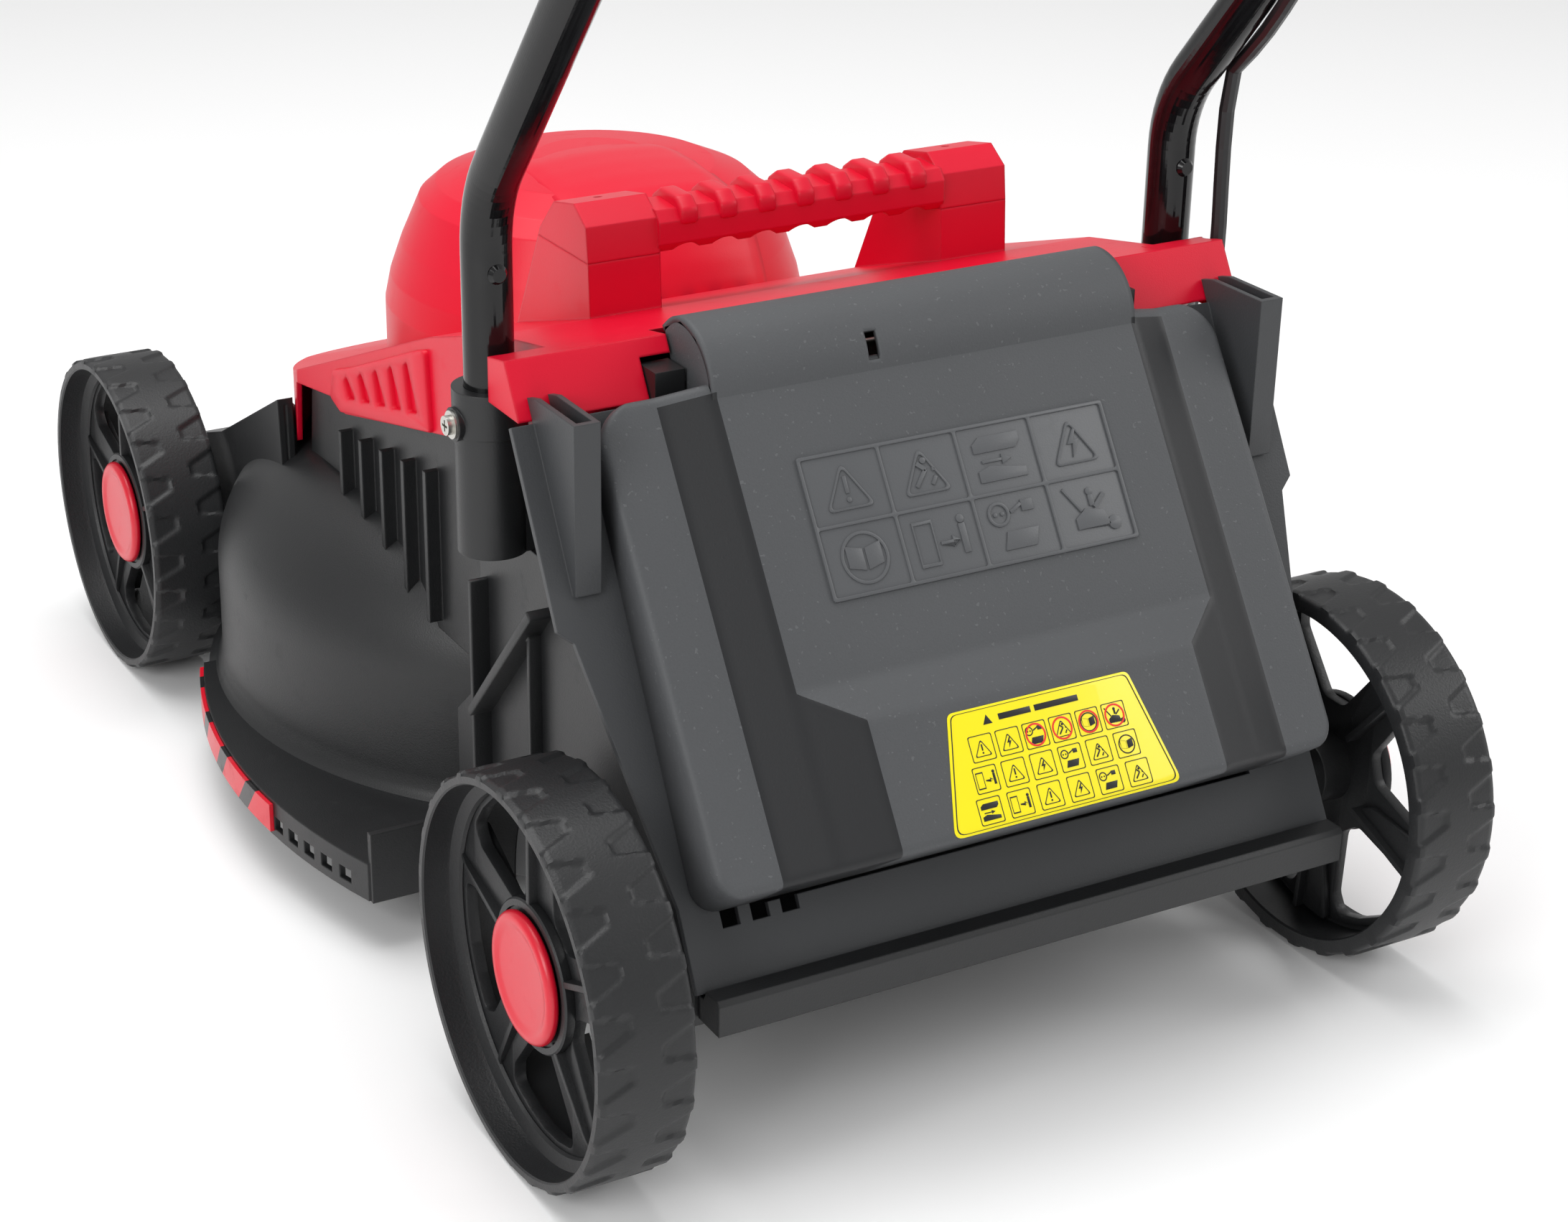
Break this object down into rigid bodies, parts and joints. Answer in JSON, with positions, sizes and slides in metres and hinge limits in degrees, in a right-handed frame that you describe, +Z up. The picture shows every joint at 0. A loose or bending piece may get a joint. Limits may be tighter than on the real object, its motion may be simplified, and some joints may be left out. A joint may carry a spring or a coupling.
{
  "type": "push lawn mower",
  "caption": "Corded electric push lawn mower: red motor cover with carry handle, black deck with round housing, grey rear flap, four lugged wheels and a folding tube handle.",
  "frame": {"origin": "on the ground under the middle of the machine's overall length and width", "axes": "+Z up, +Y the direction of pushing, +X the operator's right"},
  "size_m": [0.4644, 1.0792, 1.0475],
  "materials": {
    "deck_plastic": "black polypropylene, fine moulded texture",
    "plate_plastic": "dark grey moulded plastic, fine texture",
    "flap_plastic": "dark grey moulded plastic, fine spark texture, darker smooth strips",
    "cover_red": "satin bright red ABS",
    "bumper_red": "red with black slanted stripes",
    "tube_black": "gloss black powder coat",
    "clip_plastic": "black moulded plastic",
    "wheel_plastic": "black hard polypropylene",
    "cap_red": "satin red ABS",
    "zinc_steel": "zinc plated steel",
    "axle_steel": "turned steel",
    "motor_alloy": "cast aluminium",
    "rotor_steel": "lacquered laminations on a steel shaft",
    "blade_steel": "hardened steel, ground edges",
    "grip_foam": "closed-cell foam sleeve",
    "cable_rubber": "black rubber sheath",
    "inlet_plastic": "black moulded plastic",
    "bail_coat": "red plastic-dipped steel rod"
  },
  "bodies": {
    "chassis": {"deck": "deck_plastic", "rear_plate": "plate_plastic", "rear_bar": "clip_plastic", "bumper_l": "bumper_red", "bumper_r": "bumper_red", "motor_cover": "cover_red", "carry_grip": "cover_red", "socket_l": "clip_plastic", "socket_r": "clip_plastic", "socket_screw_l": "zinc_steel", "socket_screw_r": "zinc_steel", "lower_tube_l": "tube_black", "lower_tube_r": "tube_black", "tube_rivet_l": "tube_black", "tube_rivet_r": "tube_black", "flap_rod": "zinc_steel", "hinge_block_l": "clip_plastic", "hinge_block_r": "clip_plastic", "motor_can": "motor_alloy", "motor_base": "motor_alloy", "bearing_upper": "axle_steel", "bearing_lower": "axle_steel", "rear_axle": "axle_steel", "front_axle_l": "axle_steel", "front_axle_r": "axle_steel", "axle_nut_fl": "zinc_steel", "axle_nut_fr": "zinc_steel", "axle_nut_rl": "zinc_steel", "axle_nut_rr": "zinc_steel", "fold_bolt_l": "zinc_steel", "fold_bolt_r": "zinc_steel", "cable_lower": "cable_rubber", "cable_bend": "cable_rubber", "cable_gland": "cable_rubber"},
    "blade_unit": {"rotor": "rotor_steel", "cooling_fan": "clip_plastic", "blade_holder": "clip_plastic", "blade": "blade_steel", "blade_bolt": "zinc_steel"},
    "flap_door": {"flap": "flap_plastic", "flap_spring": "zinc_steel"},
    "upper_frame": {"upper_handle": "tube_black", "handle_grip": "grip_foam", "switch_front": "clip_plastic", "switch_back": "clip_plastic", "bail_bracket": "clip_plastic", "inlet": "inlet_plastic", "cable_upper": "cable_rubber"},
    "bail": {"bail_lever": "bail_coat"},
    "button": {"safety_button": "cap_red"},
    "fold_knob_left": {"knob_l": "cap_red"},
    "fold_knob_right": {"knob_r": "cap_red"},
    "wheel_fl_turns": {"wheel_fl": "wheel_plastic", "hub_cap_fl": "cap_red"},
    "wheel_fr_turns": {"wheel_fr": "wheel_plastic", "hub_cap_fr": "cap_red"},
    "wheel_rl_turns": {"wheel_rl": "wheel_plastic", "hub_cap_rl": "cap_red"},
    "wheel_rr_turns": {"wheel_rr": "wheel_plastic", "hub_cap_rr": "cap_red"}
  },
  "joints": [
    {"name": "front_left_wheel", "type": "hinge", "parent": "chassis", "child": "wheel_fl_turns", "pos_m": [-0.194, 0.44958, 0.09], "axis": [1, 0, 0], "continuous": true},
    {"name": "front_right_wheel", "type": "hinge", "parent": "chassis", "child": "wheel_fr_turns", "pos_m": [0.194, 0.44958, 0.09], "axis": [1, 0, 0], "continuous": true},
    {"name": "rear_left_wheel", "type": "hinge", "parent": "chassis", "child": "wheel_rl_turns", "pos_m": [-0.206, -0.11942, 0.09], "axis": [1, 0, 0], "continuous": true},
    {"name": "rear_right_wheel", "type": "hinge", "parent": "chassis", "child": "wheel_rr_turns", "pos_m": [0.206, -0.11942, 0.09], "axis": [1, 0, 0], "continuous": true},
    {"name": "blade_spin", "type": "hinge", "parent": "chassis", "child": "blade_unit", "pos_m": [0, 0.25058, 0.1], "axis": [0, 0, 1], "continuous": true},
    {"name": "flap_hinge", "type": "hinge", "parent": "chassis", "child": "flap_door", "pos_m": [0, -0.04642, 0.311], "axis": [-1, 0, 0], "range_deg": [0, 75], "stiffness_Nm_per_rad": 0.25, "springref_deg": -22.92},
    {"name": "handle_fold", "type": "hinge", "parent": "chassis", "child": "upper_frame", "pos_m": [0, -0.18019, 0.60066], "axis": [-1, 0, 0], "range_deg": [0, 150], "deforming": ["cable_bend"]},
    {"name": "bail_squeeze", "type": "hinge", "parent": "upper_frame", "child": "bail", "pos_m": [0, -0.4373, 0.90708], "axis": [1, 0, 0], "range_deg": [0, 19], "stiffness_Nm_per_rad": 0.6, "springref_deg": -20.05},
    {"name": "button_press", "type": "slide", "parent": "upper_frame", "child": "button", "axis": [0, -0.766, -0.6428], "range_m": [0, 0.004], "stiffness_N_per_m": 400, "springref_m": -0.002},
    {"name": "knob_left", "type": "hinge", "parent": "chassis", "child": "fold_knob_left", "pos_m": [-0.19, -0.18019, 0.60066], "axis": [1, 0, 0], "continuous": true},
    {"name": "knob_right", "type": "hinge", "parent": "chassis", "child": "fold_knob_right", "pos_m": [0.19, -0.18019, 0.60066], "axis": [1, 0, 0], "continuous": true}
  ]
}
